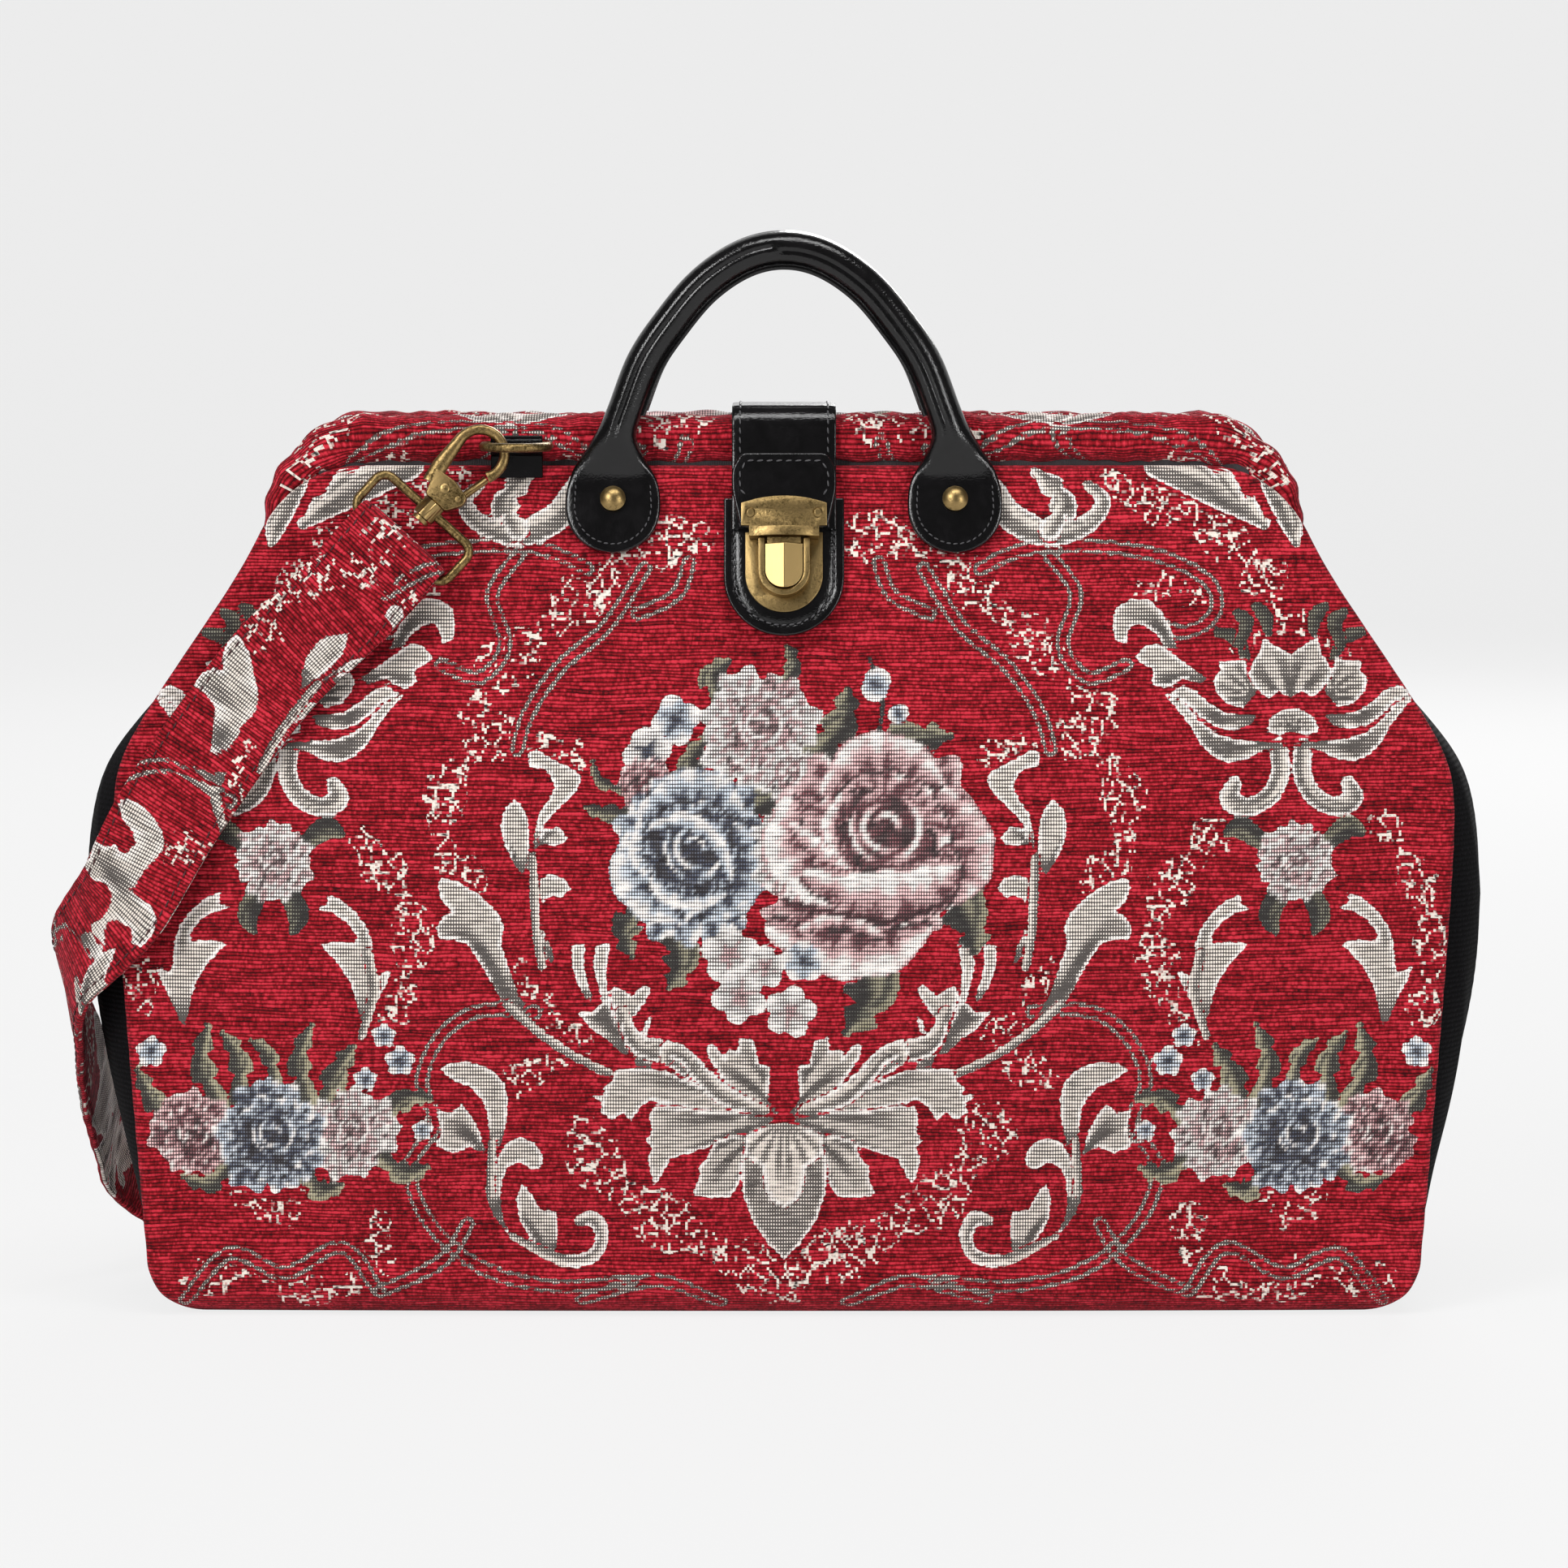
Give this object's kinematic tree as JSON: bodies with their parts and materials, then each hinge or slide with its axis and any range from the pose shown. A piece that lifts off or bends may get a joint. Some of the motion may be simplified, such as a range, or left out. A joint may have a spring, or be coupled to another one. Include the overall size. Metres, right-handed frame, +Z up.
{
  "type": "laptop bag",
  "caption": "Padded tapestry laptop bag with a hinged frame mouth, rolled leather handles, a strap with push lock, black gussets and a clip-on shoulder strap.",
  "frame": {"origin": "centre of the base on the floor", "axes": "+X to the right seen from the front, -Y towards the front with the lock, +Z up"},
  "size_m": [0.458, 0.1566, 0.3418],
  "materials": {
    "tapestry": "ribbed chenille weave",
    "black_chenille": "ribbed chenille weave",
    "lining": "plain weave",
    "board": "pressed fibre board",
    "steel": "plain",
    "leather": "polished, stitched",
    "antique_brass": "antique, rubbed"
  },
  "bodies": {
    "root": {"front_panel": "tapestry", "back_panel": "tapestry", "left_gusset": "black_chenille", "right_gusset": "black_chenille", "base_panel": "black_chenille", "base_board": "board", "lining": "lining", "laptop_divider": "lining", "left_hinge_plate": "steel", "right_hinge_plate": "steel", "hinge_pins": "steel", "shoulder_strap": "tapestry"},
    "front_frame": {"front_frame_bar": "steel", "front_casing": "tapestry", "front_handle": "leather", "front_handle_rivets": "antique_brass", "front_ring_loop": "leather", "front_ring": "antique_brass", "front_strap_loop": "antique_brass", "lock_patch": "leather", "lock_plate": "antique_brass", "lock_housing": "antique_brass"},
    "back_frame": {"back_frame_bar": "steel", "back_casing": "tapestry", "back_handle": "leather", "back_handle_rivets": "antique_brass", "back_ring_loop": "leather", "back_ring": "antique_brass", "back_strap_loop": "antique_brass", "closure_strap": "leather"},
    "flap": {"closure_tab": "leather", "strike_plate": "antique_brass", "strike_rivets": "antique_brass"},
    "button": {"lock_button": "antique_brass"},
    "front_clip": {"front_hook": "antique_brass", "front_gate_pin": "antique_brass"},
    "front_gate": {"front_hook_gate": "antique_brass"},
    "back_clip": {"back_hook": "antique_brass", "back_gate_pin": "antique_brass"},
    "back_gate": {"back_hook_gate": "antique_brass"}
  },
  "joints": [
    {"name": "mouth_front", "type": "hinge", "parent": "root", "child": "front_frame", "pos_m": [0, -0.0088, 0.226], "axis": [1, 0, 0], "range_deg": [0, 30], "deforming": ["front_panel", "lining", "shoulder_strap"]},
    {"name": "mouth_back", "type": "hinge", "parent": "root", "child": "back_frame", "pos_m": [0, 0.0088, 0.226], "axis": [-1, 0, 0], "range_deg": [0, 30], "deforming": ["back_panel"]},
    {"name": "flap_swing", "type": "hinge", "parent": "back_frame", "child": "flap", "pos_m": [0, 0, 0.286], "axis": [-1, 0, 0], "range_deg": [0, 120], "deforming": ["closure_strap"]},
    {"name": "lock_press", "type": "slide", "parent": "front_frame", "child": "button", "axis": [0, 0.9563, -0.2923], "range_m": [0, 0.002], "stiffness_N_per_m": 400, "springref_m": -0.002},
    {"name": "front_swivel", "type": "hinge", "parent": "front_frame", "child": "front_clip", "pos_m": [-0.1065, -0.03009, 0.26045], "axis": [0.6691, 0.129, 0.7319], "range_deg": [-20, 20]},
    {"name": "front_gate_open", "type": "hinge", "parent": "front_clip", "child": "front_gate", "pos_m": [-0.10253, -0.03057, 0.25773], "axis": [0, -0.9848, 0.1736], "range_deg": [0, 20], "stiffness_Nm_per_rad": 0.01, "springref_deg": -11.46},
    {"name": "back_swivel", "type": "hinge", "parent": "back_frame", "child": "back_clip", "pos_m": [0.1065, 0.03009, 0.26045], "axis": [-0.6691, -0.129, 0.7319], "range_deg": [-20, 20]},
    {"name": "back_gate_open", "type": "hinge", "parent": "back_clip", "child": "back_gate", "pos_m": [0.10253, 0.03057, 0.25773], "axis": [0, 0.9848, 0.1736], "range_deg": [0, 20], "stiffness_Nm_per_rad": 0.01, "springref_deg": -11.46}
  ],
  "couplings": [
    {"joint": "mouth_back", "follows": "mouth_front", "ratio": 1},
    {"joint": "flap_swing", "follows": "mouth_front", "ratio": 4}
  ]
}
